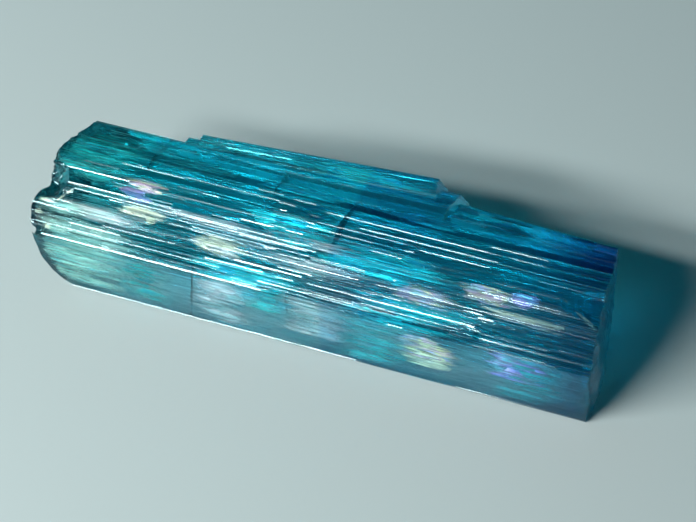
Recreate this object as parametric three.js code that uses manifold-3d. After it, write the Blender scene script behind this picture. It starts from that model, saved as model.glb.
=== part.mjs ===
// A blue-green tourmaline crystal: a striated prism, broken off at both ends, lying on one of its prism faces.
//
// Millimetres. +X runs along the c axis, from the green end to the blue end. +Y is the back of the crystal as it
// lies, and +Z is up. The origin is the middle of the footprint, on the surface that the crystal rests on.

import * as THREE from 'three';
import { mergeVertices } from 'three/addons/utils/BufferGeometryUtils.js';
import Module from 'manifold-3d';

const wasm = await Module();
wasm.setup();

// ---------------------------------------------------------------- driving dimensions

const LENGTH = 26.0; // along the c axis, tip to tip
const REST_TO_AXIS = 2.6; // height of the c axis above the resting face
const FRONT_TO_AXIS = 3.15; // from the front face back to the c axis
const RISER_RUN = 0.03; // half the width of the slope between two growth steps
const CORNER_SLOPE = 0.8; // how steeply growth steps may cut in beside a corner of the section
const ZONE_STEP = 0.12; // length of the slope where a growth step ends
const CHANGE_SHARE = 0.4; // share of the growth steps that change level from one zone to the next
const LEAST_STEP = 0.35; // added to a random width from 0 to 1, so that no growth step is too narrow
const ZONE_JITTER = 0.5; // how far a change of zone strays, as a share of the zone's length
const PRISM_SEED = 7919;
const GROWTH_SEED = 104729;
const END_OVERRUN = 1.0; // how much too long the prism is made before its ends are broken off

// The prism faces in order round the section. `facing` is the direction of the face's normal, in degrees from +Y
// towards +Z, at the multiples of 30 degrees that tourmaline's prisms have, apart from the vicinal upper back.
// `reach` is how far the face's plane lies from the c axis, `steps` how many growth steps run along it and `relief`
// how deep they are.
const PRISM_FACES = [
  { facing: 180, reach: FRONT_TO_AXIS, steps: 4, relief: 0.03 }, // front
  { facing: 150, reach: 2.73, steps: 12, relief: 0.09 }, // upper front, the most strongly striated
  { facing: 120, reach: 2.84, steps: 6, relief: 0.05 }, // shoulder
  { facing: 90, reach: 2.75, steps: 7, relief: 0.06 }, // crest
  { facing: 74, reach: 2.72, steps: 2, relief: 0.015 }, // upper back, nearly smooth
  { facing: 30, reach: 3.42, steps: 4, relief: 0.04 }, // upper rear
  { facing: 0, reach: 3.2, steps: 5, relief: 0.04 }, // rear
  { facing: -30, reach: 3.4, steps: 4, relief: 0.04 }, // lower rear
  { facing: -90, reach: REST_TO_AXIS, steps: 0, relief: 0 }, // resting face
  { facing: -150, reach: 3.97, steps: 0, relief: 0 }, // narrow bevel under the front face
];

const RIB_FACES = [
  { facing: 180, reach: 1.0, steps: 0, relief: 0 },
  { facing: 95, reach: 2.32, steps: 1, relief: 0.01 },
  { facing: 76, reach: 2.8, steps: 3, relief: 0.02 },
  { facing: 30, reach: 3.7, steps: 3, relief: 0.04 },
  { facing: 0, reach: 3.45, steps: 4, relief: 0.04 },
  { facing: -30, reach: 2.9, steps: 2, relief: 0.02 },
  { facing: -90, reach: 0.3, steps: 0, relief: 0 },
];

const LEDGE_FACES = [
  { facing: 180, reach: -1.2, steps: 0, relief: 0 },
  { facing: 128, reach: 0.3, steps: 2, relief: 0.03 },
  { facing: 84, reach: 2.8, steps: 3, relief: 0.03 },
  { facing: 30, reach: 3.86, steps: 2, relief: 0.04 },
  { facing: 0, reach: 3.55, steps: 3, relief: 0.04 },
  { facing: -30, reach: 2.5, steps: 2, relief: 0.03 },
  { facing: -90, reach: -1.0, steps: 0, relief: 0 },
];

// The main prism, and what grew parallel to it on its upper rear edge. `start` and `end` are shares of the length,
// `zones` how many stretches of differing growth steps it has, `rake` how far its ends lean for each mm of height,
// and `drift` how far it shifts in Y and Z from its start to its end.
const PRISM = { start: 0, end: 1, faces: PRISM_FACES, zones: 6, rake: 0, drift: [0, 0], overrun: END_OVERRUN };
const GROWTHS = [
  { start: 0.17, end: 0.715, faces: RIB_FACES, zones: 3, rake: 0.35, drift: [0.45, 0.12], overrun: 0 },
  { start: 0.66, end: 0.96, faces: RIB_FACES, zones: 2, rake: 0.35, drift: [-0.35, 0], overrun: 0 },
  { start: 0.205, end: 0.672, faces: LEDGE_FACES, zones: 2, rake: 0.22, drift: [0.4, 0.4], overrun: 0 },
];

// ---------------------------------------------------------------- small helpers

// Repeatable random numbers from 0 to 1 (a 32-bit Lehmer generator).
function randomStream(seed) {
  const MODULUS = 2147483647;
  const MULTIPLIER = 48271;
  let state = seed;
  return () => {
    state = (state * MULTIPLIER) % MODULUS;
    return state / MODULUS;
  };
}

// A smooth step from 0 at `low` to 1 at `high`.
function smoothStep(low, high, value) {
  const t = THREE.MathUtils.clamp((value - low) / (high - low), 0, 1);
  return t * t * (3 - 2 * t);
}

function meshToSolid(positions, triangles) {
  return new wasm.Manifold(new wasm.Mesh({
    numProp: 3,
    vertProperties: Float32Array.from(positions),
    triVerts: Uint32Array.from(triangles),
  }));
}

function toSolid(geometry) {
  const bare = geometry.clone();
  bare.deleteAttribute('normal');
  bare.deleteAttribute('uv');
  const welded = mergeVertices(bare);
  return meshToSolid(welded.attributes.position.array, welded.index.array);
}

function toGeometry(solid) {
  const mesh = solid.getMesh();
  const geometry = new THREE.BufferGeometry();
  geometry.setAttribute('position', new THREE.BufferAttribute(mesh.vertProperties, 3));
  geometry.setIndex(new THREE.BufferAttribute(mesh.triVerts, 1));
  return geometry;
}

// ---------------------------------------------------------------- striated prisms

// The corner where two neighbouring prism faces meet.
function corner(faceA, faceB) {
  const a = THREE.MathUtils.degToRad(faceA.facing);
  const b = THREE.MathUtils.degToRad(faceB.facing);
  const determinant = Math.sin(b - a);
  return new THREE.Vector2(
    (faceA.reach * Math.sin(b) - faceB.reach * Math.sin(a)) / determinant,
    (faceB.reach * Math.cos(a) - faceA.reach * Math.cos(b)) / determinant,
  );
}

// How deep one growth step lies in each zone. It mostly carries on from the zone before.
function stepDepths(relief, zones, random) {
  let depth = relief * random();
  return Array.from({ length: zones }, () => {
    if (random() < CHANGE_SHARE) {
      depth = relief * random();
    }
    return depth;
  });
}

// The points of one face of the section, from its first corner on. Each has the way into the crystal and its depth
// in every zone.
function facePoints(first, last, { steps, relief }, zones, random) {
  const along = last.clone().sub(first);
  const width = along.length();
  along.normalize();
  const inward = new THREE.Vector2(along.y, -along.x);
  const points = [{ at: first, inward, depths: Array(zones).fill(0) }];
  const shares = Array.from({ length: steps }, () => LEAST_STEP + random());
  const total = shares.reduce((sum, share) => sum + share, 0);
  let edge = 0;
  for (const share of shares) {
    const nextEdge = edge + (share / total) * width;
    const depths = stepDepths(relief, zones, random);
    for (const place of [edge + RISER_RUN, nextEdge - RISER_RUN]) {
      const deepest = CORNER_SLOPE * Math.min(place, width - place);
      points.push({
        at: first.clone().addScaledVector(along, place),
        inward,
        depths: depths.map((depth) => Math.min(depth, deepest)),
      });
    }
    edge = nextEdge;
  }
  return points;
}

function sectionPoints(faces, zones, random) {
  const count = faces.length;
  return faces.flatMap((face, index) => {
    const before = faces[(index + count - 1) % count];
    const after = faces[(index + 1) % count];
    return facePoints(corner(before, face), corner(face, after), face, zones, random);
  });
}

// Places along X where the section is set down, each with its zone: a pair close together at each change of zone.
function stationsAlong(from, to, zones, random) {
  const stations = [{ x: from, zone: 0 }];
  const zoneLength = (to - from) / zones;
  for (let zone = 1; zone < zones; zone += 1) {
    const change = from + (zone + ZONE_JITTER * (random() - 0.5)) * zoneLength;
    stations.push({ x: change - ZONE_STEP / 2, zone: zone - 1 }, { x: change + ZONE_STEP / 2, zone });
  }
  stations.push({ x: to, zone: zones - 1 });
  return stations;
}

function prism({ start, end, faces, zones, rake, drift, overrun }, seed) {
  const random = randomStream(seed);
  const points = sectionPoints(faces, zones, random);
  const first = start * LENGTH;
  const last = end * LENGTH;
  const stations = stationsAlong(first - overrun, last + overrun, zones, random);
  const positions = stations.flatMap(({ x, zone }) => {
    const share = (x - first) / (last - first);
    return points.flatMap(({ at, inward, depths }) => {
      const y = at.x + inward.x * depths[zone] + drift[0] * share;
      const z = at.y + inward.y * depths[zone] + drift[1] * share;
      return [x - rake * z * (2 * share - 1), y, z];
    });
  });
  const count = points.length;
  const triangles = [];
  for (let row = 0; row < stations.length - 1; row += 1) {
    for (let i = 0; i < count; i += 1) {
      const near = row * count + i;
      const next = row * count + (i + 1) % count;
      triangles.push(near, next + count, next, near, near + count, next + count);
    }
  }
  const lastRing = (stations.length - 1) * count;
  const outlineOf = (zone) => points.map(({ at, inward, depths }) => at.clone().addScaledVector(inward, depths[zone]));
  for (const [a, b, c] of THREE.ShapeUtils.triangulateShape(outlineOf(0), [])) {
    triangles.push(a, c, b);
  }
  for (const [a, b, c] of THREE.ShapeUtils.triangulateShape(outlineOf(zones - 1), [])) {
    triangles.push(lastRing + a, lastRing + b, lastRing + c);
  }
  return meshToSolid(positions, triangles);
}

// ---------------------------------------------------------------- broken ends

const END_GRID = 26; // cells across a broken end
const END_SPAN = 9.0; // size of the square that a broken end's surface is made on, well past the section
const END_THICKNESS = 6.0; // how far a cutting block reaches past the end
const RIPPLE = 0.04; // height of the ripples on a broken end

// A block whose one side is the surface x = surfaceAt(y, z) and which fills everything on its `side` (-1 or +1).
function endCutter(surfaceAt, side) {
  const block = new THREE.BoxGeometry(END_THICKNESS, END_SPAN, END_SPAN, 1, END_GRID, END_GRID);
  const position = block.attributes.position;
  for (let i = 0; i < position.count; i += 1) {
    const onSurface = position.getX(i) * side < 0;
    const x = surfaceAt(position.getY(i), position.getZ(i));
    position.setX(i, onSurface ? x : side * END_THICKNESS + (side > 0 ? LENGTH : 0));
  }
  return toSolid(block);
}

// The green end: it draws back to the rear, its lower front corner is rounded off by a curved fracture, and a lip
// stands forward on the upper front.
const GREEN_DRAW = 0.065; // how far the end draws back for each mm of depth
const ROUND_X = 2.5; // length of the rounded lower corner along the crystal
const ROUND_Z = 2.6; // height of the rounded lower corner
const ROUND_LOSS = 0.75; // share of the rounding that is lost towards the rear
const ROUND_DEPTHS = [0.8, 5.0]; // depths between which it is lost
const LIP = 0.38; // how far the lip stands forward
const LIP_HEIGHTS = [2.2, 3.6]; // heights between which the lip comes forward
const LIP_DEPTHS = [0.9, 1.7]; // depths between which it draws back again
const GREEN_RIPPLES = { back: 2.4, up: 1.3 }; // radians of ripple for each mm of depth and of height

function greenEnd(y, z) {
  const depth = y + FRONT_TO_AXIS;
  const height = z + REST_TO_AXIS;
  const below = THREE.MathUtils.clamp((ROUND_Z - height) / ROUND_Z, 0, 1);
  const cornerShare = 1 - ROUND_LOSS * smoothStep(...ROUND_DEPTHS, depth);
  const rounded = ROUND_X * cornerShare * (1 - Math.sqrt(1 - below * below));
  const lip = LIP * smoothStep(...LIP_HEIGHTS, height) * (1 - smoothStep(...LIP_DEPTHS, depth));
  const ripple = RIPPLE * Math.sin(GREEN_RIPPLES.back * depth + GREEN_RIPPLES.up * height);
  return LIP + GREEN_DRAW * depth + rounded - lip + ripple;
}

// The blue end: a gently bulging fracture that draws back towards the rear.
const BLUE_DRAW = 0.017; // mm drawn back for each square mm of depth
const BLUE_BULGE = 0.3; // how far the lower front of the end bulges
const BULGE_DEPTH = 1.4; // depth of the bulge's middle
const BULGE_HEIGHT = 1.2; // height of the bulge's middle
const BULGE_SPREAD = 2.2; // square mm over which the bulge falls off
const BLUE_RIPPLES = { back: 1.1, up: 1.9 }; // radians of ripple for each mm of depth and of height

function blueEnd(y, z) {
  const depth = y + FRONT_TO_AXIS;
  const height = z + REST_TO_AXIS;
  const fromMiddle = (depth - BULGE_DEPTH) ** 2 + (height - BULGE_HEIGHT) ** 2;
  const bulge = BLUE_BULGE * Math.exp(-fromMiddle / BULGE_SPREAD);
  const ripple = RIPPLE * Math.sin(BLUE_RIPPLES.up * height - BLUE_RIPPLES.back * depth);
  return LENGTH - BLUE_BULGE - BLUE_DRAW * depth * depth + bulge + ripple;
}

// ---------------------------------------------------------------- chips and pits

// Scoops out of the surface: the centre in mm from the green end of the c axis, the radii, and how far each is
// turned about X, Y and Z in degrees.
const SCOOPS = [
  { at: [0.55, -2.0, 2.05], radii: [1.15, 0.95, 0.62], turn: [0, -25, 35] }, // chipped step beside the lip
  { at: [26.0, -1.6, 2.36], radii: [2.0, 0.8, 0.25], turn: [34, 0, 0] }, // flake off the blue end's upper front edge
  { at: [10.27, -2.33, 1.57], radii: [0.3, 0.16, 0.2], turn: [0, 0, 0] }, // crater on the upper front
  { at: [6.9, -2.06, 1.95], radii: [0.3, 0.1, 0.12], turn: [0, 0, 0] }, // notch on the shoulder
];
const SCOOP_DETAIL = 3;

function scoop({ at, radii, turn }) {
  const ball = new THREE.IcosahedronGeometry(1, SCOOP_DETAIL);
  const [aboutX, aboutY, aboutZ] = turn.map(THREE.MathUtils.degToRad);
  ball.scale(...radii).rotateX(aboutX).rotateY(aboutY).rotateZ(aboutZ).translate(...at);
  return toSolid(ball);
}

// ---------------------------------------------------------------- the crystal

function crystalGeometry() {
  let solid = prism(PRISM, PRISM_SEED);
  GROWTHS.forEach((growth, index) => {
    solid = solid.add(prism(growth, GROWTH_SEED + index));
  });
  solid = solid.subtract(endCutter(greenEnd, -1)).subtract(endCutter(blueEnd, 1));
  for (const chip of SCOOPS) {
    solid = solid.subtract(scoop(chip));
  }
  return toGeometry(solid);
}

const tourmaline = new THREE.MeshStandardMaterial({ color: 0x0f8ea0, roughness: 0.12, metalness: 0.0 });
const crystal = new THREE.Mesh(crystalGeometry(), tourmaline);
crystal.name = 'crystal';
crystal.geometry.computeBoundingBox();
const box = crystal.geometry.boundingBox;
crystal.position.set(-(box.min.x + box.max.x) / 2, -(box.min.y + box.max.y) / 2, -box.min.z);

const group = new THREE.Group();
group.name = 'tourmaline_crystal';
group.add(crystal);

export default group;
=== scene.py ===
"""A blue-green tourmaline crystal on a pale floor: a clear striated prism with fractures and veils inside.

Metres, in the frame of the CAD model: +X along the c axis to the blue end, +Y to the rear and +Z up. Sizes of
the crystal are written in millimetres from the green end of its c axis and turned into metres where a mesh is
made.
"""

import math

import bmesh
import bpy
import numpy as np
from mathutils import Euler, Matrix, Vector, noise
from mathutils.bvhtree import BVHTree


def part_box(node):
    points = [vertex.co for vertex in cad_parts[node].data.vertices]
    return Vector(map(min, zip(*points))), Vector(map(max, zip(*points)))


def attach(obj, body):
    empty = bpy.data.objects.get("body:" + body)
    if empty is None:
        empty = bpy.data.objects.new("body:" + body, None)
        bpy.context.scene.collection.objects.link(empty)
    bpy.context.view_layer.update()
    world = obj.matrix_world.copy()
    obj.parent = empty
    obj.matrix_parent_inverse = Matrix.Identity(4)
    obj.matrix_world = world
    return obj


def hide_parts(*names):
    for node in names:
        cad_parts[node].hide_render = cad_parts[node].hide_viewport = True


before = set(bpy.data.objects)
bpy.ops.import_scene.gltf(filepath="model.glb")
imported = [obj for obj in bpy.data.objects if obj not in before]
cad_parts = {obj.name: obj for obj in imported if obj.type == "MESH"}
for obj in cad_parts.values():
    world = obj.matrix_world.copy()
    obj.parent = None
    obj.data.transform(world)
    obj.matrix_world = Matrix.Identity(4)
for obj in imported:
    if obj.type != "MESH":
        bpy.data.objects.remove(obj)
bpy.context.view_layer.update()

# ---------------------------------------------------------------- driving dimensions

MM = 0.001
REST_TO_AXIS = 2.6  # mm from the resting face up to the c axis
FRONT_TO_AXIS = 3.15  # mm from the front face back to the c axis
BOX_LOW, BOX_HIGH = (Vector(point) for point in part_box("crystal"))
LENGTH = (BOX_HIGH.x - BOX_LOW.x) / MM
AXIS_START = Vector((BOX_LOW.x, BOX_LOW.y + FRONT_TO_AXIS * MM, BOX_LOW.z + REST_TO_AXIS * MM))

RISER_RUN = 0.02  # mm, half the width of the slope between two growth steps
CORNER_SLOPE = 0.8  # how steeply growth steps may cut in beside a corner of the section
ZONE_STEP = 0.05  # mm, length of the slope where a growth step ends
PLAIN_TILT = (0.0, 1.5)  # degrees, mean and spread of how far growth steps tilt where a face gives no tilt
CHANGE_SHARE = 0.2  # share of the growth steps that change level from one zone to the next
LEAST_DEPTH = 0.1  # depth of the shallowest growth steps as a share of their face's relief
LEAST_WIDTH = 0.25  # width of the narrowest growth steps before they are scaled to fill their face
WIDTH_SPREAD = 1.5  # how much wider than those the widest are
WIDEST_RISER = 0.3  # RISER_RUN at most, as a share of a growth step's width
END_OVERRUN = 1.0  # mm that the prism is made too long before its ends are broken off

# Prism faces: the direction each faces in degrees from +Y towards +Z, how far its plane lies from the c axis,
# how many growth steps run along it and how deep they are. `tilt` is the mean and spread in degrees of their
# tilt, and `change` the share of them that change level from one zone to the next.
PRISM_FACES = [
    dict(facing=180, reach=3.15, steps=16, relief=0.025, change=0.03),
    dict(facing=150, reach=2.73, steps=54, relief=0.09, tilt=(4.0, 9.0)),
    dict(facing=120, reach=2.84, steps=14, relief=0.04, tilt=(0.0, 5.0)),
    dict(facing=90, reach=2.75, steps=20, relief=0.05, tilt=(0.0, 3.0)),
    dict(facing=74, reach=2.72, steps=5, relief=0.01, tilt=(0.0, 0.4)),
    dict(facing=30, reach=3.42, steps=9, relief=0.04, tilt=(0.0, 0.8)),
    dict(facing=0, reach=3.2, steps=14, relief=0.04, tilt=(0.0, 0.8)),
    dict(facing=-30, reach=3.4, steps=12, relief=0.04, tilt=(0.0, 4.0)),
    dict(facing=-90, reach=REST_TO_AXIS, steps=0, relief=0.0),
    dict(facing=-150, reach=3.97, steps=1, relief=0.01),
]
RIB_FACES = [
    dict(facing=180, reach=1.0, steps=0, relief=0.0),
    dict(facing=95, reach=2.32, steps=2, relief=0.01),
    dict(facing=76, reach=2.80, steps=6, relief=0.02),
    dict(facing=30, reach=3.70, steps=5, relief=0.04),
    dict(facing=0, reach=3.45, steps=8, relief=0.04),
    dict(facing=-30, reach=2.9, steps=3, relief=0.02),
    dict(facing=-90, reach=0.3, steps=0, relief=0.0),
]
LEDGE_FACES = [
    dict(facing=180, reach=-1.2, steps=0, relief=0.0),
    dict(facing=128, reach=0.30, steps=3, relief=0.03),
    dict(facing=84, reach=2.80, steps=6, relief=0.03),
    dict(facing=30, reach=3.86, steps=4, relief=0.04),
    dict(facing=0, reach=3.55, steps=6, relief=0.04),
    dict(facing=-30, reach=2.5, steps=3, relief=0.03),
    dict(facing=-90, reach=-1.0, steps=0, relief=0.0),
]

# The main prism and what grew parallel to it on its upper rear edge. `span` is its start and end as shares of
# the length, `zones` how many stretches of differing growth steps it has, `rake` how far its ends lean, and
# `drift` how far it shifts in Y and Z from its start to its end.
PRISMS = [
    dict(name="prism", span=(0, 1), faces=PRISM_FACES, zones=46, rake=0, drift=(0, 0), seed=11),
    dict(name="rib", span=(0.17, 0.715), faces=RIB_FACES, zones=14, rake=0.35, drift=(0.45, 0.12), seed=12),
    dict(name="toe", span=(0.66, 0.96), faces=RIB_FACES, zones=9, rake=0.35, drift=(-0.35, 0), seed=14),
    dict(name="ledge", span=(0.205, 0.672), faces=LEDGE_FACES, zones=9, rake=0.22, drift=(0.4, 0.4), seed=13),
]


# ---------------------------------------------------------------- mesh helpers

def mesh_object(name, vertices, faces):
    """A mesh object from vertices in mm from the green end of the c axis, with its faces turned outward."""
    mesh = bpy.data.meshes.new(name)
    mesh.from_pydata(np.asarray(vertices).tolist(), [], [tuple(face) for face in faces])
    shape = bmesh.new()
    shape.from_mesh(mesh)
    bmesh.ops.triangulate(shape, faces=shape.faces)
    bmesh.ops.recalc_face_normals(shape, faces=shape.faces)
    shape.to_mesh(mesh)
    shape.free()
    obj = bpy.data.objects.new(name, mesh)
    bpy.context.collection.objects.link(obj)
    return obj


def to_metres(obj):
    obj.data.transform(Matrix.Translation(AXIS_START) @ Matrix.Scale(MM, 4))


def apply_boolean(target, tool, operation):
    modifier = target.modifiers.new(operation, "BOOLEAN")
    modifier.operation = operation
    modifier.solver = "MANIFOLD"
    modifier.object = tool
    with bpy.context.temp_override(object=target, active_object=target, selected_objects=[target]):
        bpy.ops.object.modifier_apply(modifier=modifier.name)
    bpy.data.objects.remove(tool, do_unlink=True)
    shape = bmesh.new()
    shape.from_mesh(target.data)
    bmesh.ops.triangulate(shape, faces=shape.faces)
    shape.to_mesh(target.data)
    shape.free()


def smooth_step(low, high, value):
    t = np.clip((value - low) / (high - low), 0.0, 1.0)
    return t * t * (3 - 2 * t)


# ---------------------------------------------------------------- striated prisms

def corner(face_a, face_b):
    """Y and Z of the corner where two neighbouring prism faces meet."""
    a = math.radians(face_a["facing"])
    b = math.radians(face_b["facing"])
    determinant = math.sin(b - a)
    y = (face_a["reach"] * math.sin(b) - face_b["reach"] * math.sin(a)) / determinant
    z = (face_b["reach"] * math.cos(a) - face_a["reach"] * math.cos(b)) / determinant
    return np.array([y, z])


def terrace_levels(face, zones, random):
    """How deep each growth step of a face lies and how steeply it tilts, by zone. Most carry on unchanged."""
    def draw():
        depth = face["relief"] * (LEAST_DEPTH + (1 - LEAST_DEPTH) * random.random(face["steps"]))
        tilt = np.radians(random.normal(*face.get("tilt", PLAIN_TILT), face["steps"]))
        return np.array([depth, np.tan(tilt)])

    level = draw()
    rows = []
    for _ in range(zones):
        changed = random.random(face["steps"]) < face.get("change", CHANGE_SHARE)
        level = np.where(changed, draw(), level)
        rows.append(level)
    return np.array(rows)


def section(faces, zones, random):
    """Points round the section, the way into the crystal at each, and each one's depth in every zone."""
    points, inward, depths = [], [], []
    for index, face in enumerate(faces):
        start = corner(faces[index - 1], face)
        end = corner(face, faces[(index + 1) % len(faces)])
        whole = np.linalg.norm(end - start)
        along = (end - start) / whole
        way_in = np.array([along[1], -along[0]])
        points.append(start)
        inward.append(way_in)
        depths.append(np.zeros(zones))
        if not face["steps"]:
            continue
        shares = LEAST_WIDTH + WIDTH_SPREAD * random.random(face["steps"]) ** 2
        edges = np.concatenate([[0.0], np.cumsum(shares) / shares.sum()]) * whole
        levels = terrace_levels(face, zones, random)
        for step in range(face["steps"]):
            width = edges[step + 1] - edges[step]
            run = min(RISER_RUN, WIDEST_RISER * width)
            for place, side in ((edges[step] + run, -0.5), (edges[step + 1] - run, 0.5)):
                points.append(start + along * place)
                inward.append(way_in)
                deepest = CORNER_SLOPE * min(place, whole - place)
                depths.append(np.clip(levels[:, 0, step] + side * width * levels[:, 1, step], 0.0, deepest))
    return np.array(points), np.array(inward), np.array(depths)


def stations_along(start, end, zones, random):
    """Places along X where the section is set down, each with its zone: a close pair at each change."""
    places, zone_of = [start], [0]
    breaks = start + np.sort(random.random(zones - 1)) * (end - start - zones * 2 * ZONE_STEP)
    for index, place in enumerate(breaks):
        centre = place + (index + 1) * 2 * ZONE_STEP
        places += [centre - ZONE_STEP / 2, centre + ZONE_STEP / 2]
        zone_of += [index, index + 1]
    return places + [end], zone_of + [zones - 1]


def prism(name, span, faces, zones, rake, drift, seed):
    """A striated prism: its section set down along X again and again, with the growth steps of each zone."""
    random = np.random.default_rng(seed)
    points, inward, depths = section(faces, zones, random)
    first, last = (share * LENGTH for share in span)
    overrun = END_OVERRUN if span == (0, 1) else 0
    places, zone_of = stations_along(first - overrun, last + overrun, zones, random)
    rings = []
    for place, zone in zip(places, zone_of):
        share = (place - first) / (last - first)
        ring = points + inward * depths[:, zone][:, None] + np.array(drift) * share
        lean = rake * ring[:, 1] * (2 * share - 1)
        rings.append(np.column_stack([place - lean, ring]))
    count = len(points)
    quads = []
    for row in range(len(places) - 1):
        for i in range(count):
            j = (i + 1) % count
            quads.append((row * count + i, row * count + j, (row + 1) * count + j, (row + 1) * count + i))
    top = (len(places) - 1) * count
    caps = [range(count), range(top, top + count)]
    return mesh_object(name, np.concatenate(rings), quads + caps)


# ---------------------------------------------------------------- broken ends

END_SPAN = 9.0  # mm, size of the square that a broken end's surface is made on
END_CELLS = 120
END_BLOCK = 6.0  # mm that the cutting block reaches past the end
RIPPLE_FADE = 4.0  # mm over which the ripples of a break die out
HACKLE_NOISE = (0.7, 2.1, 4)  # fall-off, spacing and number of the octaves of noise on a rough break

GREEN_DRAW = 0.065  # mm that the green end draws back for each mm of depth
ROUND_X = 2.5  # mm, length of its rounded lower corner along the crystal
ROUND_Z = 2.6  # mm, height of the rounded lower corner
ROUND_LOSS = 0.75  # share of the rounding that is lost towards the rear
ROUND_DEPTHS = (0.8, 5.0)  # mm, depths between which it is lost
LIP = 0.38  # mm that the lip stands forward
LIP_HEIGHTS = (2.2, 3.6)  # mm, heights between which the lip comes forward
LIP_DEPTHS = (0.9, 1.7)  # mm, depths between which it draws back again
HACKLE_HEIGHTS = (2.2, 4.4)  # mm, heights between which the green end gets rough
GREEN_RIPPLES = dict(centre=(0.5, 3.8), wavelength=0.9, size=0.035)
GREEN_HACKLE = dict(size=0.11, scale=1.6, seed=3.0)

BLUE_BACK = 0.32  # mm that the blue end's edge lies short of the whole length
BLUE_DRAW = 0.017  # mm that the blue end draws back at 1 mm of depth, growing with the square of the depth
BULGE = 0.3  # mm that the lower front of the blue end bulges
BULGE_DEPTH = 1.4
BULGE_HEIGHT = 1.2
BULGE_SPREAD = 2.2  # square mm over which the bulge falls off
BLUE_RIPPLES = dict(centre=(1.0, 0.4), wavelength=1.1, size=0.03)
BLUE_HACKLE = dict(size=0.07, scale=1.2, seed=8.0)


def ripples(depth, height, centre, wavelength, size):
    """Conchoidal ripples: rings round the point that the break started from, dying out away from it."""
    away = np.hypot(depth - centre[0], height - centre[1])
    return size * np.sin(2 * np.pi * away / wavelength) * np.exp(-away / RIPPLE_FADE)


def hackle(depth, height, size, scale, seed):
    """Rough broken relief from smooth noise."""
    flat = [
        noise.fractal(Vector((d * scale, h * scale, seed)), *HACKLE_NOISE)
        for d, h in zip(depth.ravel(), height.ravel())
    ]
    return size * np.array(flat).reshape(depth.shape)


def green_end(y, z):
    """The green end: it draws back to the rear, with a rounded lower front corner and a lip above it."""
    depth = y + FRONT_TO_AXIS
    height = z + REST_TO_AXIS
    below = np.clip((ROUND_Z - height) / ROUND_Z, 0.0, 1.0)
    corner_share = 1 - ROUND_LOSS * smooth_step(*ROUND_DEPTHS, depth)
    rounded = ROUND_X * corner_share * (1 - np.sqrt(1 - below**2))
    lip = LIP * smooth_step(*LIP_HEIGHTS, height) * (1 - smooth_step(*LIP_DEPTHS, depth))
    rough = smooth_step(*HACKLE_HEIGHTS, height)
    relief = ripples(depth, height, **GREEN_RIPPLES) + rough * hackle(depth, height, **GREEN_HACKLE)
    return LIP + GREEN_DRAW * depth + rounded - lip + relief


def blue_end(y, z):
    """The blue end: a gently bulging break that draws back to the rear."""
    depth = y + FRONT_TO_AXIS
    height = z + REST_TO_AXIS
    from_middle = (depth - BULGE_DEPTH) ** 2 + (height - BULGE_HEIGHT) ** 2
    bulge = BULGE * np.exp(-from_middle / BULGE_SPREAD)
    relief = ripples(depth, height, **BLUE_RIPPLES) + hackle(depth, height, **BLUE_HACKLE)
    return LENGTH - BLUE_BACK - BLUE_DRAW * depth**2 + bulge + relief


def end_block(surface, far):
    """A block that fills everything between a broken end's surface and the plane x = far."""
    line = np.linspace(-END_SPAN / 2, END_SPAN / 2, END_CELLS + 1)
    ys, zs = np.meshgrid(line, line, indexing="ij")
    near = np.stack([surface(ys, zs), ys, zs], -1).reshape(-1, 3)
    back = near.copy()
    back[:, 0] = far
    size = END_CELLS + 1
    faces = []
    for i in range(END_CELLS):
        for j in range(END_CELLS):
            quad = (i * size + j, (i + 1) * size + j, (i + 1) * size + j + 1, i * size + j + 1)
            faces.append(quad)
            faces.append(tuple(size * size + index for index in reversed(quad)))
    rim = [i * size for i in range(size)] + [(size - 1) * size + j for j in range(1, size)]
    rim += [i * size + size - 1 for i in range(size - 2, -1, -1)] + list(range(size - 2, 0, -1))
    for a, b in zip(rim, rim[1:] + rim[:1]):
        faces.append((b, a, size * size + a, size * size + b))
    return mesh_object("end_block", np.concatenate([near, back]), faces)


# ---------------------------------------------------------------- chips and pits

# Scoops out of the surface: the centre in mm from the green end of the c axis, the radii in mm, and the turn
# about X, Y and Z in degrees.
SCOOPS = [
    dict(at=(0.55, -2.0, 2.05), radii=(1.15, 0.95, 0.62), turn=(0, -25, 35)),  # chipped step beside the lip
    dict(at=(0.55, -2.95, 0.1), radii=(0.34, 0.2, 0.26), turn=(0, 0, 20)),  # small chips on the green end
    dict(at=(0.1, -2.85, 0.75), radii=(0.3, 0.25, 0.22), turn=(0, 30, 0)),
    dict(at=(0.35, -0.9, 2.85), radii=(0.5, 0.4, 0.3), turn=(0, 0, 0)),
    dict(at=(0.45, 0.5, 2.95), radii=(0.35, 0.5, 0.3), turn=(0, 20, 0)),
    dict(at=(26.0, -1.6, 2.36), radii=(2.0, 0.8, 0.25), turn=(34, 0, 0)),  # flake off the blue end
    dict(at=(10.27, -2.33, 1.57), radii=(0.3, 0.16, 0.2), turn=(0, 0, 0)),  # crater on the upper front
    dict(at=(6.9, -2.06, 1.95), radii=(0.3, 0.10, 0.12), turn=(0, 0, 0)),  # notch on the shoulder
    dict(at=(13.95, 1.04, 2.62), radii=(0.10, 0.34, 0.12), turn=(0, 0, 0)),  # nick in the upper back
]
SCOOP_SUBDIVISIONS = 5
SCOOP_ROUGHNESS = 0.10  # share of a scoop's radius that its surface wanders
SCOOP_WAVES = 1.7  # waves of that wandering in one radius
SCOOP_NOISE = (0.8, 2.0, 3)  # fall-off, spacing and number of the octaves of its noise


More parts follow.
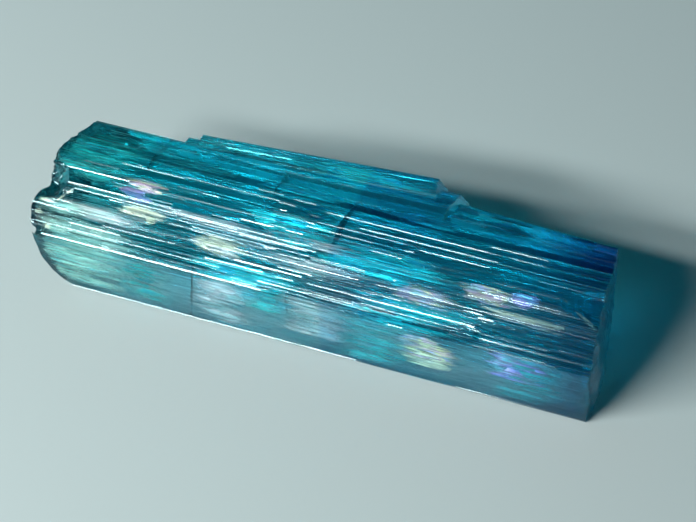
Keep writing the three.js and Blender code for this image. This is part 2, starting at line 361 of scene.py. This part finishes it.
def scoop(at, radii, turn):
    bpy.ops.mesh.primitive_ico_sphere_add(subdivisions=SCOOP_SUBDIVISIONS, radius=1.0)
    ball = bpy.context.object
    for vertex in ball.data.vertices:
        wander = noise.fractal(vertex.co * SCOOP_WAVES + Vector(at), *SCOOP_NOISE)
        vertex.co *= 1 + SCOOP_ROUGHNESS * wander
    turned = Euler([math.radians(angle) for angle in turn]).to_matrix().to_4x4()
    ball.data.transform(Matrix.Translation(at) @ turned @ Matrix.Diagonal((*radii, 1)))
    return ball


# ---------------------------------------------------------------- the crystal

# Which faces are which, by the parts of their normals along X (the c axis), Y and Z.
BROKEN_X = 0.35  # broken faces look further along the c axis than this
STRIATED_Y, STRIATED_Z = -0.25, 0.1  # striated faces look further to the front and higher
FRONT_Y = -0.95  # the front face looks further to the front than this
RESTING_Z = -0.9  # the resting face looks lower than this
BEVEL_Y, BEVEL_Z = -0.5, -0.3  # the bevel under the front face looks further to the front and lower
TOP_SHADE_Y, TOP_SHADE_Z = -0.12, 0.8  # up-facing faces of the upper back that get painted shade look further to the rear and higher
SHARP_EDGE = math.radians(35)  # edges of the broken surfaces that turn by more than this stay sharp


def make_crystal():
    crystal, *growths = [prism(**spec) for spec in PRISMS]
    crystal.name = "tourmaline_crystal"
    for growth in growths:
        apply_boolean(crystal, growth, "UNION")
    apply_boolean(crystal, end_block(green_end, -END_BLOCK), "DIFFERENCE")
    apply_boolean(crystal, end_block(blue_end, LENGTH + END_BLOCK), "DIFFERENCE")
    for place in SCOOPS:
        apply_boolean(crystal, scoop(**place), "DIFFERENCE")
    smooth_broken_faces(crystal.data)
    mark_faces(crystal.data)
    to_metres(crystal)
    crystal.data.materials.clear()
    crystal.data.materials.append(crystal_material())
    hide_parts("crystal")
    return crystal


def smooth_broken_faces(mesh):
    """Shades the broken surfaces smooth and leaves the prism's flat growth steps flat."""
    broken = np.array([abs(face.normal.x) > BROKEN_X for face in mesh.polygons])
    mesh.polygons.foreach_set("use_smooth", broken)
    shape = bmesh.new()
    shape.from_mesh(mesh)
    for edge in shape.edges:
        edge.smooth = edge.calc_face_angle(0.0) < SHARP_EDGE
    shape.to_mesh(mesh)
    shape.free()


def mark_faces(mesh):
    """Stores how matt each face is and whether it is an up-facing face of the upper back that gets painted
    shade, for the material to read.
    """
    x, y, z = np.array([face.normal for face in mesh.polygons]).T
    matt = np.full(len(x), GROWN_ROUGHNESS)
    matt[(y < STRIATED_Y) & (z > STRIATED_Z)] = STRIATED_ROUGHNESS
    matt[y < FRONT_Y] = FRONT_ROUGHNESS
    matt[np.abs(x) > BROKEN_X] = BROKEN_ROUGHNESS
    matt[z < RESTING_Z] = RESTING_ROUGHNESS
    matt[(y < BEVEL_Y) & (z < BEVEL_Z)] = FRONT_ROUGHNESS
    top_shade = (y > TOP_SHADE_Y) & (z > TOP_SHADE_Z)
    for name, values in (("matt", matt), ("top_shade", top_shade.astype(float))):
        attribute = mesh.attributes.new(name, "FLOAT", "FACE")
        attribute.data.foreach_set("value", values)


# ---------------------------------------------------------------- what is sealed inside

SKIN = 0.12  # mm of whole crystal kept between anything sealed inside and a prism face
END_SKIN = 0.04  # mm of whole crystal kept between anything sealed inside and a broken end
WAVE = 0.06  # mm that a fracture or veil wanders out of its plane
WAVE_SCALE = 1.1  # waves of that wandering in a mm
RIM_WANDER = 0.25  # share of a lens's reach that its rim wanders
RIM_WAVES = 1.3  # waves of that wandering in one radius
RIM_NOISE = (0.6, 2.0, 4)  # fall-off, spacing and number of the octaves of noise in the rim
FRACTURE_CELLS = (10, 72)  # rings and spokes of a cross fracture's mesh
FRACTURE_SEED = 5.0
VEIL_CELLS = (8, 24)
VEIL_THICKNESS = 0.004
VEIL_SEED = 31
STRAND_SPREAD = 4  # degrees that the strands of a veil turn out of its plane
STRAND_LENGTHS = (0.6, 1.0)  # shortest and longest strands as shares of their veil's length
STRAND_WIDTHS = (0.6, 1.3)  # half widths of the narrowest and widest strands as shares of their spacing
LONE_WIDTH = 0.5  # half width of a lone strand as a share of its veil's width
NOISE_SPAN = 50  # a strand's own noise starts anywhere in this span

# Cross fractures: thin gaps nearly square to the c axis. `at` is the centre and `radii` the reach in Y and Z,
# both in mm, and `turn` is about X, Y and Z in degrees.
CROSS_FRACTURES = [
    dict(at=(7.8, -2.75, -1.1), radii=(0.5, 2.0), turn=(0, 3, 4), thickness=0.02),
    dict(at=(13.85, -0.2, 2.3), radii=(1.8, 0.5), turn=(0, -5, -3), thickness=0.02),
    dict(at=(4.45, 1.6, 1.8), radii=(1.5, 1.2), turn=(0, 4, 2), thickness=0.02),
    dict(at=(8.4, 1.2, 2.1), radii=(0.9, 0.6), turn=(0, 6, -3), thickness=0.01),
    dict(at=(10.3, 1.4, 2.0), radii=(1.0, 0.8), turn=(0, -4, 3), thickness=0.01),
    dict(at=(12.2, -2.75, -0.5), radii=(0.3, 0.8), turn=(0, -6, 5), thickness=0.01),
    dict(at=(3.5, -2.6, 0.2), radii=(0.8, 0.5), turn=(0, 0, 0), thickness=0.01),
]

# Healed veils, by tint; among the straw ones are a few pale strands that stand in for glints, as painted
# highlights. `at` is the centre in mm, `size` the length along the crystal and the width, `facing` as for
# prism faces, `lean` how far the veil turns within its own plane, `strands` how many strands it is a bundle
# of, and `slant` how far each is turned out of that plane, like the slats of a blind. `in_growth` marks veils
# in a growth, or nearer a face than SKIN, which keep_inside must leave alone.
VEILS = {
    "haze": [
        dict(at=(5.5, -2.90, -1.3), size=(7.0, 3.0), facing=180, strands=1),
        dict(at=(10.5, -2.92, -1.3), size=(9.0, 3.2), facing=180, strands=1),
        dict(at=(16.5, -2.90, -1.3), size=(9.0, 3.2), facing=180, strands=1),
        dict(at=(21.7, -2.92, -1.3), size=(8.0, 3.2), facing=180, strands=1),
    ],
    "pale": [
        dict(at=(8.6, -1.88, 2.10), size=(5.2, 0.35), facing=140, strands=4),
        dict(at=(13.2, -1.78, 2.20), size=(5.4, 0.35), facing=138, strands=4),
        dict(at=(13.4, -2.36, 1.27), size=(5.8, 0.50), facing=143, strands=5),
        dict(at=(3.2, -2.37, 1.30), size=(4.6, 0.60), facing=150, strands=4),
        dict(at=(9.2, -2.90, -1.25), size=(3.4, 1.9), facing=178, slant=-10, strands=9),
        dict(at=(13.6, -2.90, -0.90), size=(4.4, 1.8), facing=178, slant=-10, strands=9),
    ],
    "cyan": [
        dict(at=(11.9, -0.80, 2.60), size=(4.4, 2.2), facing=122, strands=7),
        dict(at=(13.8, 2.75, 2.45), size=(6.5, 0.7), facing=125, strands=4, in_growth=True),
        dict(at=(8.5, 2.45, 2.30), size=(5.0, 0.5), facing=125, strands=3, in_growth=True),
        dict(at=(16.4, -1.75, 2.20), size=(6.0, 0.8), facing=132, strands=6),
        dict(at=(12.4, -1.70, 2.25), size=(3.4, 0.6), facing=132, strands=4),
        dict(at=(18.0, -2.60, 0.80), size=(7.0, 0.6), facing=143, strands=4),
        dict(at=(20.2, 2.00, 2.27), size=(3.0, 0.7), facing=76, strands=3),
        dict(at=(10.0, -2.75, 0.30), size=(6.0, 0.8), facing=150, strands=4),
        dict(at=(17.0, -2.75, 0.30), size=(6.0, 0.8), facing=150, strands=4),
        dict(at=(11.4, 0.95, 2.25), size=(4.8, 0.7), facing=78, slant=30, strands=4),
        dict(at=(17.0, 1.05, 2.25), size=(4.2, 0.8), facing=78, slant=38, strands=3),
        dict(at=(15.4, -2.05, 1.75), size=(5.0, 0.6), facing=143, strands=5),
    ],
    "teal": [
        dict(at=(2.3, 0.10, 2.48), size=(5.0, 3.2), facing=86, slant=31, strands=12),
        dict(at=(11.2, -2.90, -0.60), size=(2.2, 1.1), facing=178, slant=-14, strands=4),
        dict(at=(6.3, 0.95, 2.25), size=(5.5, 0.7), facing=78, slant=30, strands=4),
        dict(at=(23.3, -2.90, -1.20), size=(5.0, 2.4), facing=178, slant=-14, strands=8),
        dict(at=(16.0, -2.90, -1.00), size=(5.0, 2.6), facing=178, slant=-12, strands=9),
        dict(at=(5.4, -2.90, -1.30), size=(3.8, 1.8), facing=178, slant=-5, strands=6),
    ],
    "mint": [
        dict(at=(2.6, -2.90, -0.70), size=(6.5, 3.0), facing=178, slant=-11, strands=12),
        dict(at=(1.6, -2.60, 0.80), size=(3.4, 1.4), facing=155, strands=5),
    ],
    "straw": [
        dict(at=(8.95, -2.36, 1.24), size=(3.0, 0.70), facing=143, strands=5),
        dict(at=(5.2, -2.10, 1.65), size=(2.4, 0.50), facing=143, strands=3),
        dict(at=(22.6, -2.35, 1.35), size=(4.4, 0.40), facing=150, slant=-8, strands=5),
        dict(at=(18.5, -2.90, -1.50), size=(3.0, 0.7), facing=178, slant=-18, strands=6),
        # painted highlight: this pale strand stands in for the white glint along the edge of the flake off
        # the blue end
        dict(at=(24.7, -1.75, 2.05), size=(2.0, 0.22), facing=140, lean=-30, strands=1),
        # painted highlights: these small pale strands stand in for the white glints on the chips of the green
        # end
        dict(at=(0.75, -2.20, 1.25), size=(1.1, 0.14), facing=143, strands=1, in_growth=True),
        dict(at=(1.57, -1.95, 1.68), size=(1.2, 0.14), facing=143, lean=46, strands=1, in_growth=True),
        dict(at=(0.90, -2.75, 0.30), size=(0.5, 0.25), facing=150, strands=1),
        dict(at=(0.40, -2.50, 0.75), size=(0.4, 0.25), facing=150, strands=1),
    ],
    "rainbow": [
        dict(at=(5.1, -1.10, 2.45), size=(2.2, 0.45), facing=135, strands=4),
        dict(at=(18.2, -2.38, 1.25), size=(3.2, 0.75), facing=143, strands=5),
        dict(at=(20.8, -2.00, 1.95), size=(2.8, 0.65), facing=140, strands=5),
        dict(at=(18.6, -2.90, -0.90), size=(3.4, 1.1), facing=178, slant=-18, strands=8),
    ],
    "violet": [
        dict(at=(4.8, -1.63, 2.30), size=(2.2, 0.40), facing=137, strands=2),
        dict(at=(22.6, -2.90, -0.75), size=(3.0, 1.2), facing=178, slant=-19, strands=8),
        dict(at=(22.4, -1.90, 2.10), size=(1.8, 0.4), facing=137, strands=2),
    ],
}


def keep_inside(points):
    """Moves points that lie outside the prism, or too near its surface, in to SKIN under its faces."""
    for face in PRISM_FACES:
        angle = math.radians(face["facing"])
        normal = np.array([0.0, math.cos(angle), math.sin(angle)])
        limit = face["reach"] - face["relief"] - SKIN
        points = points - np.outer(np.maximum(points @ normal - limit, 0.0), normal)
    return points


def lens(cells, centre, half_u, half_v, thickness, seed):
    """Points and faces of a thin lens with a wandering rim, and each point's share of the way in from it."""
    rings, spokes = cells
    square = half_u.cross(half_v).normalized()

    def ring_points(out, side):
        points = []
        for spoke in range(spokes):
            angle = 2 * math.pi * spoke / spokes
            way = Vector((math.cos(angle), math.sin(angle), seed))
            reach = out * (1 + RIM_WANDER * noise.fractal(way * RIM_WAVES, *RIM_NOISE))
            flat = half_u * reach * math.cos(angle) + half_v * reach * math.sin(angle)
            wave = WAVE * noise.noise(flat * WAVE_SCALE + Vector((seed, 0, 0)))
            points.append(centre + flat + square * (wave + side * thickness / 2 * (1 - out**2)))
        return points

    points, fade = [], []
    for side in (1, -1):
        for ring in range(rings):
            points += ring_points(ring / rings, side)
            fade += [1 - ring / rings] * spokes
    rim = len(points)
    points += ring_points(1.0, 0)
    fade += [0.0] * spokes
    faces = []
    for side_start in (0, rings * spokes):
        for ring in range(rings):
            inner = side_start + ring * spokes
            outer = rim if ring == rings - 1 else inner + spokes
            for spoke in range(spokes):
                after = (spoke + 1) % spokes
                if ring == 0:
                    faces.append((side_start, outer + after, outer + spoke))
                else:
                    faces.append((inner + spoke, inner + after, outer + after, outer + spoke))
    return np.array([tuple(point) for point in points]), faces, fade


def depth_in_crystal(tree, point):
    """How far inside the crystal a point lies, in mm, or less than nothing outside it."""
    nearest, normal, _, _ = tree.find_nearest(AXIS_START + point * MM)
    return (nearest - AXIS_START - point * MM).dot(normal) / MM


def join_lenses(name, lenses, tree):
    """One object from many lenses, cut off open where they would come out of the crystal.

    Each point's share of the way in from the rim is kept as an attribute.
    """
    vertices, faces, fades, start = [], [], [], 0
    for points, quads, fade in lenses:
        vertices.append(points)
        faces += [tuple(index + start for index in quad) for quad in quads]
        fades += fade
        start += len(points)
    mesh = bpy.data.meshes.new(name)
    mesh.from_pydata(np.concatenate(vertices).tolist(), [], faces)
    attribute = mesh.attributes.new("fade", "FLOAT", "POINT")
    attribute.data.foreach_set("value", fades)
    shape = bmesh.new()
    shape.from_mesh(mesh)
    stray = [
        point for point in shape.verts
        if not point.link_faces or depth_in_crystal(tree, point.co) < END_SKIN
    ]
    bmesh.ops.delete(shape, geom=stray, context="VERTS")
    bmesh.ops.recalc_face_normals(shape, faces=shape.faces)
    shape.to_mesh(mesh)
    shape.free()
    mesh.polygons.foreach_set("use_smooth", [True] * len(mesh.polygons))
    obj = bpy.data.objects.new(name, mesh)
    bpy.context.collection.objects.link(obj)
    to_metres(obj)
    return obj


def make_cross_fractures(tree):
    lenses = []
    for index, gap in enumerate(CROSS_FRACTURES):
        turn = Euler([math.radians(angle) for angle in gap["turn"]]).to_matrix()
        half_u = turn @ Vector((0, gap["radii"][0], 0))
        half_v = turn @ Vector((0, 0, gap["radii"][1]))
        seed = FRACTURE_SEED + index
        points, faces, fade = lens(FRACTURE_CELLS, Vector(gap["at"]), half_u, half_v, gap["thickness"], seed)
        lenses.append((keep_inside(points), faces, fade))
    fractures = join_lenses("cross_fractures", lenses, tree)
    fractures.data.materials.append(fracture_material())
    return fractures


def strand(veil, place, random):
    """One strand of a veil. `place` runs from -0.5 at its lower edge to 0.5 at its upper edge."""
    plane = math.radians(veil["facing"])
    turn = math.radians(veil["facing"] + veil.get("slant", 0) + random.normal(0, STRAND_SPREAD))
    spread = Vector((0, math.sin(plane), -math.cos(plane)))
    upward = Vector((0, math.sin(turn), -math.cos(turn)))
    lean = math.radians(veil.get("lean", 0))
    along = Vector((math.cos(lean), 0, 0)) + upward * math.sin(lean)
    across = along.cross(upward).cross(along)
    length, width = veil["size"]
    strands = veil["strands"]
    reach = length * (random.uniform(*STRAND_LENGTHS) if strands > 1 else 1.0)
    slide = (length - reach) / 2 * random.uniform(-1, 1)
    centre = Vector(veil["at"]) + spread * width * place + along * slide
    half_v = across * width / strands * (random.uniform(*STRAND_WIDTHS) if strands > 1 else LONE_WIDTH)
    seed = random.uniform(0, NOISE_SPAN)
    points, faces, fade = lens(VEIL_CELLS, centre, along * reach / 2, half_v, VEIL_THICKNESS, seed)
    return points if veil.get("in_growth") else keep_inside(points), faces, fade


def make_veils(tint, tree):
    random = np.random.default_rng(VEIL_SEED)
    lenses = []
    for veil in VEILS[tint]:
        places = (np.arange(veil["strands"]) + 0.5) / veil["strands"] - 0.5
        lenses += [strand(veil, place, random) for place in places]
    veils = join_lenses(f"healed_veils_{tint}", lenses, tree)
    veils.data.materials.append(veil_material(tint))
    return veils


# ---------------------------------------------------------------- materials

ABSORPTION_COLOUR = (0.10, 0.87, 0.92)
ABSORPTION_DENSITY = 500.0
TOURMALINE_IOR = 1.63
SPECULAR_TINT = (0.70, 0.95, 1.0, 1)
GROWN_ROUGHNESS = 0.04
STRIATED_ROUGHNESS = 0.12
FRONT_ROUGHNESS = 0.16
BROKEN_ROUGHNESS = 0.22
RESTING_ROUGHNESS = 0.55
FRACTURE_ROUGHNESS = 0.02


class Shader:
    """A node tree with short ways to add nodes and link them."""

    def __init__(self, name):
        self.material = bpy.data.materials.new(name)
        self.material.use_nodes = True
        self.nodes = self.material.node_tree.nodes
        self.links = self.material.node_tree.links
        self.output = self.nodes["Material Output"]
        self.principled = self.nodes["Principled BSDF"]

    def node(self, kind, inputs=None, **settings):
        node = self.nodes.new("ShaderNode" + kind)
        for key, value in settings.items():
            setattr(node, key, value)
        for key, value in (inputs or {}).items():
            self.feed(node.inputs[key], value)
        return node

    def feed(self, socket, value):
        if hasattr(value, "is_output"):
            self.links.new(value, socket)
        else:
            socket.default_value = value

    def drawn_out_noise(self, scale, detail):
        """Noise drawn out along the crystal. `scale` is how many waves it has in a metre along X, Y and Z."""
        place = self.node("TexCoord")
        scaled = self.node("Mapping", {"Vector": place.outputs["Object"], "Scale": scale})
        pattern = self.node("TexNoise", {"Vector": scaled.outputs[0], "Scale": 1.0, "Detail": detail})
        return pattern.outputs["Fac"]

    def ramp(self, value, stops):
        node = self.node("ValToRGB", {"Fac": value})
        elements = node.color_ramp.elements
        while len(elements) < len(stops):
            elements.new(0.5)
        for element, (place, colour) in zip(elements, stops):
            element.position = place
            element.color = (*colour, 1)
        return node.outputs[0]

    def along_crystal(self):
        place = self.node("TexCoord")
        split = self.node("SeparateXYZ", {0: place.outputs["Object"]})
        limits = {"Value": split.outputs["X"], "From Min": BOX_LOW.x, "From Max": BOX_HIGH.x}
        return self.node("MapRange", limits).outputs[0]


ZONE_AND_SHADE_COLOURS = [  # colour zoning along the crystal, from the green end to the blue end; the sharp step to darker just past the cross fracture at about 0.53, and the darker stretch after it, are painted light and shade that stand in for light the fracture throws back to its green side
    (0.0, (0.85, 1.0, 0.93)),
    (0.30, (0.72, 0.94, 1.0)),
    (0.528, (0.72, 0.97, 1.0)),
    (0.534, (0.42, 0.76, 0.92)),
    (0.66, (0.50, 0.86, 0.98)),
    (0.74, (0.66, 0.94, 1.0)),
    (0.84, (0.50, 0.78, 0.92)),
    (0.97, (0.12, 0.30, 0.47)),
    (1.0, (0.18, 0.60, 0.62)),
]
TOP_SHADE_COLOURS = [  # how much darker the colour is on the up-facing faces of the upper back: partly colour zoning along the crystal, partly painted shade for how these faces lie in the light, the dark stretch from 0.536 standing in for light the cross fracture throws back to its green side
    (0.0, (0.60, 1.0, 1.0)),
    (0.15, (0.50, 0.95, 0.95)),
    (0.165, (0.26, 0.44, 0.50)),
    (0.28, (0.44, 0.64, 0.74)),
    (0.528, (0.44, 0.64, 0.76)),
    (0.536, (0.24, 0.30, 0.46)),
    (0.66, (0.24, 0.30, 0.46)),
    (0.73, (0.50, 0.80, 0.92)),
    (0.84, (0.26, 0.44, 0.66)),
    (0.93, (0.06, 0.11, 0.46)),
]


def crystal_material():
    shader = Shader("tourmaline")
    # colour zoning along the crystal, with painted light and shade at the cross fracture near the middle
    zoning_and_shade = shader.ramp(shader.along_crystal(), ZONE_AND_SHADE_COLOURS)
    # painted shade: the up-facing faces of the upper back are darkened by a second ramp along the crystal
    top_shade = shader.node("Attribute", attribute_name="top_shade")
    shaded_top = shader.ramp(shader.along_crystal(), TOP_SHADE_COLOURS)
    in_top_shade = {"Fac": top_shade.outputs["Fac"], "Color1": (1, 1, 1, 1), "Color2": shaded_top}
    shaded_top = shader.node("MixRGB", in_top_shade)
    both = {"Fac": 1.0, "Color1": zoning_and_shade, "Color2": shaded_top.outputs[0]}
    zoning_and_shade = shader.node("MixRGB", both, blend_type="MULTIPLY")
    shader.feed(shader.principled.inputs["Base Color"], zoning_and_shade.outputs[0])
    shader.feed(shader.principled.inputs["Transmission Weight"], 1.0)
    shader.feed(shader.principled.inputs["IOR"], TOURMALINE_IOR)
    shader.feed(shader.principled.inputs["Specular Tint"], SPECULAR_TINT)
    matt = shader.node("Attribute", attribute_name="matt")
    shader.feed(shader.principled.inputs["Roughness"], matt.outputs["Fac"])
    colour = {"Color": (*ABSORPTION_COLOUR, 1), "Density": ABSORPTION_DENSITY}
    absorption = shader.node("VolumeAbsorption", colour)
    shader.links.new(absorption.outputs[0], shader.output.inputs["Volume"])
    return shader.material


def fracture_material():
    """The two walls of an air gap inside the crystal: light passes from the crystal's IOR to that of air."""
    shader = Shader("fracture_gap")
    wall = {"IOR": 1 / TOURMALINE_IOR, "Roughness": FRACTURE_ROUGHNESS, "Color": (1, 1, 1, 1)}
    glass = shader.node("BsdfGlass", wall)
    shader.links.new(glass.outputs[0], shader.output.inputs["Surface"])
    return shader.material


# How the veils look, by tint. `cover` is how much a whole film hides of what lies behind it, `soft` the share
# of the way in from the rim over which it fades, and `colours` its interference colours by the noise's value.
VEIL_LOOKS = {
    "haze": dict(cover=0.25, soft=0.8, colours=[
        (0.0, (0.45, 0.88, 0.95)),
        (0.5, (0.70, 0.88, 0.95)),
        (1.0, (0.40, 0.88, 0.95)),
    ]),
    "pale": dict(cover=0.7, soft=0.7, colours=[
        (0.35, (0.60, 0.88, 0.92)),
        (0.50, (0.95, 0.86, 0.92)),
        (0.65, (0.70, 0.86, 0.95)),
    ]),
    "cyan": dict(cover=0.9, soft=0.5, colours=[
        (0.35, (0.02, 0.76, 0.92)),
        (0.50, (0.05, 0.90, 1.0)),
        (0.65, (0.02, 0.70, 1.0)),
    ]),
    "teal": dict(cover=0.7, soft=0.8, colours=[
        (0.35, (0.02, 0.58, 0.62)),
        (0.50, (0.08, 0.78, 0.82)),
        (0.65, (0.02, 0.50, 0.64)),
    ]),
    "mint": dict(cover=0.7, soft=0.8, colours=[
        (0.35, (0.30, 0.72, 0.70)),
        (0.50, (0.55, 0.88, 0.84)),
        (0.65, (0.25, 0.68, 0.72)),
    ]),
    "straw": dict(cover=1.0, soft=0.35, colours=[
        (0.35, (0.95, 0.92, 0.80)),
        (0.50, (1.0, 0.96, 0.74)),
        (0.65, (0.90, 0.92, 0.98)),
    ]),
    "rainbow": dict(cover=1.0, soft=0.45, colours=[
        (0.30, (0.55, 0.85, 1.0)),
        (0.42, (1.0, 0.62, 0.85)),
        (0.50, (1.0, 0.95, 0.55)),
        (0.58, (0.68, 0.62, 1.0)),
        (0.70, (0.55, 1.0, 0.90)),
    ]),
    "violet": dict(cover=1.0, soft=0.45, colours=[
        (0.35, (0.25, 0.65, 1.0)),
        (0.50, (0.55, 0.45, 1.0)),
        (0.60, (0.75, 0.60, 1.0)),
        (0.70, (0.4, 0.9, 1.0)),
    ]),
}
STREAKS = dict(scale=(450, 14000, 14000), detail=5.0)
STREAK_LIMITS = (0.32, 0.50)  # noise at which a film starts and at which it is whole
COLOUR_PATCHES = dict(scale=(700, 3500, 3500), detail=2.0)
FILM_ROUGHNESS = 0.45
HAZE_SHARE = 0.3  # share of a film's light that it scatters all round instead of mirroring it


def veil_material(tint):
    """A healed fracture, or for a few straw strands a painted glint: a film that shines in interference
    colours where whole and is clear elsewhere.
    """
    shader = Shader("veil_" + tint)
    look = VEIL_LOOKS[tint]
    streaks = shader.drawn_out_noise(**STREAKS)
    patches = shader.drawn_out_noise(**COLOUR_PATCHES)
    colour = shader.ramp(patches, look["colours"])
    shine = shader.node("BsdfGlossy", {"Color": colour, "Roughness": FILM_ROUGHNESS})
    haze = shader.node("BsdfDiffuse", {"Color": colour})
    film = shader.node("MixShader", {0: HAZE_SHARE, 1: shine.outputs[0], 2: haze.outputs[0]})
    clear = shader.node("BsdfTransparent")
    fade = shader.node("Attribute", attribute_name="fade")
    broken, unbroken = STREAK_LIMITS
    whole = shader.node("MapRange", {"Value": streaks, "From Min": broken, "From Max": unbroken})
    inner = shader.node("MapRange", {"Value": fade.outputs["Fac"], "From Min": 0.0, "From Max": look["soft"]})
    share = shader.node("Math", {0: whole.outputs[0], 1: inner.outputs[0]}, operation="MULTIPLY")
    share = shader.node("Math", {0: share.outputs[0], 1: look["cover"]}, operation="MULTIPLY")
    mixed = shader.node("MixShader", {0: share.outputs[0], 1: clear.outputs[0], 2: film.outputs[0]})
    shader.links.new(mixed.outputs[0], shader.output.inputs["Surface"])
    return shader.material


def floor_material():
    shader = Shader("floor")
    shader.feed(shader.principled.inputs["Base Color"], FLOOR_COLOUR)
    shader.feed(shader.principled.inputs["Roughness"], FLOOR_ROUGHNESS)
    return shader.material


# ---------------------------------------------------------------- stage

CAMERA_ELEVATION = math.radians(41)  # the camera's place was found by fitting the crystal's outline
CAMERA_AZIMUTH = math.radians(21.2)
CAMERA_DISTANCE = 108 * MM
CAMERA_LENS = 129
CAMERA_TARGET = Vector((0.79, -0.055, 2.36)) * MM
CLIP_START = 1 * MM
FLOOR_HALF = 0.6
FLOOR_GAP = 0.05 * MM  # the crystal lies on the high points of its face
FLOOR_COLOUR = (0.56, 0.68, 0.69, 1)
FLOOR_ROUGHNESS = 0.6
BOUNCES = 24


def aim(obj, target):
    obj.rotation_euler = (Vector(target) - obj.location).to_track_quat("-Z", "Y").to_euler()


def make_camera():
    camera = bpy.data.objects.new("camera", bpy.data.cameras.new("camera"))
    bpy.context.collection.objects.link(camera)
    direction = Vector((
        math.sin(CAMERA_AZIMUTH) * math.cos(CAMERA_ELEVATION),
        -math.cos(CAMERA_AZIMUTH) * math.cos(CAMERA_ELEVATION),
        math.sin(CAMERA_ELEVATION),
    ))
    camera.location = CAMERA_TARGET + direction * CAMERA_DISTANCE
    aim(camera, CAMERA_TARGET)
    camera.data.lens = CAMERA_LENS
    camera.data.clip_start = CLIP_START
    bpy.context.scene.camera = camera


# Two long narrow lights before the crystal and parallel to it, reaching well past its green end. `elevation`
# is how high they hang, in degrees above the level.
STRIPS = [dict(elevation=32.3, power=0.49), dict(elevation=41.3, power=0.33)]
STRIP_DISTANCE = 0.14
STRIP_START = 0.19  # share of the distance that the near end of a strip light lies to the left
STRIP_REACH = 1.4  # length of a strip light as a share of its distance
STRIP_HEIGHT = 0.014
STRIP_COLOUR = (1.0, 0.98, 0.95)

# Two weak cyan lights behind the crystal, which shine through it and tint its shadow.
GLOWS = [
    dict(name="backdrop", way=(-0.27, 0.70, 0.66), size=(0.24, 0.20), power=0.05, colour=(0.02, 0.85, 1.0)),
    dict(name="side", way=(0.70, 0.62, 0.30), size=(0.22, 0.14), power=0.008, colour=(0.02, 0.70, 1.0)),
]
GLOW_DISTANCE = 0.30

# The surroundings, dim with a paler band round the horizon: the height of each stop, as the Z of the way
# looked in, and its colour.
SURROUNDINGS = [(0.07, (0.20, 0.30, 0.32, 1)), (0.15, (0.001, 0.008, 0.018, 1))]


def rectangular_light(name, size, power, colour):
    light = bpy.data.lights.new(name, "AREA")
    light.shape = "RECTANGLE"
    light.size, light.size_y = size
    light.energy = power
    light.color = colour
    obj = bpy.data.objects.new(name, light)
    bpy.context.collection.objects.link(obj)
    return obj


def strip_light(elevation, power):
    size = (STRIP_REACH * STRIP_DISTANCE, STRIP_HEIGHT)
    strip = rectangular_light("strip", size, power, STRIP_COLOUR)
    height = math.tan(math.radians(elevation))
    strip.location = Vector((-STRIP_START - STRIP_REACH / 2, -1.0, height)) * STRIP_DISTANCE
    strip.rotation_euler = (math.pi / 2 - math.radians(elevation), 0, 0)


def glow(name, way, size, power, colour):
    light = rectangular_light(name, size, power, colour)
    light.location = Vector(way).normalized() * GLOW_DISTANCE
    aim(light, (0, 0, 0))


def make_world():
    world = bpy.data.worlds.new("world")
    bpy.context.scene.world = world
    world.use_nodes = True
    nodes, links = world.node_tree.nodes, world.node_tree.links
    place = nodes.new("ShaderNodeTexCoord")
    split = nodes.new("ShaderNodeSeparateXYZ")
    bands = nodes.new("ShaderNodeValToRGB")
    links.new(place.outputs["Generated"], split.inputs[0])
    links.new(split.outputs["Z"], bands.inputs[0])
    links.new(bands.outputs[0], nodes["Background"].inputs["Color"])
    for element, (height, colour) in zip(bands.color_ramp.elements, SURROUNDINGS):
        element.position = height
        element.color = colour


def make_stage():
    half, low = FLOOR_HALF, BOX_LOW.z - FLOOR_GAP
    corners = [(-half, -half, low), (half, -half, low), (half, half, low), (-half, half, low)]
    mesh = bpy.data.meshes.new("floor")
    mesh.from_pydata(corners, [], [(0, 1, 2, 3)])
    floor = bpy.data.objects.new("floor", mesh)
    bpy.context.collection.objects.link(floor)
    mesh.materials.append(floor_material())
    for strip in STRIPS:
        strip_light(**strip)
    for spec in GLOWS:
        glow(**spec)
    make_world()
    scene = bpy.context.scene
    scene.view_settings.view_transform = "Standard"
    scene.cycles.max_bounces = BOUNCES
    scene.cycles.transmission_bounces = BOUNCES
    scene.cycles.transparent_max_bounces = BOUNCES
    scene.cycles.sample_clamp_indirect = 0


make_camera()
make_stage()
crystal = make_crystal()
tree = BVHTree.FromObject(crystal, bpy.context.evaluated_depsgraph_get())
inclusions = [make_cross_fractures(tree)] + [make_veils(tint, tree) for tint in VEIL_LOOKS]
for piece in [crystal] + inclusions:
    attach(piece, "root")
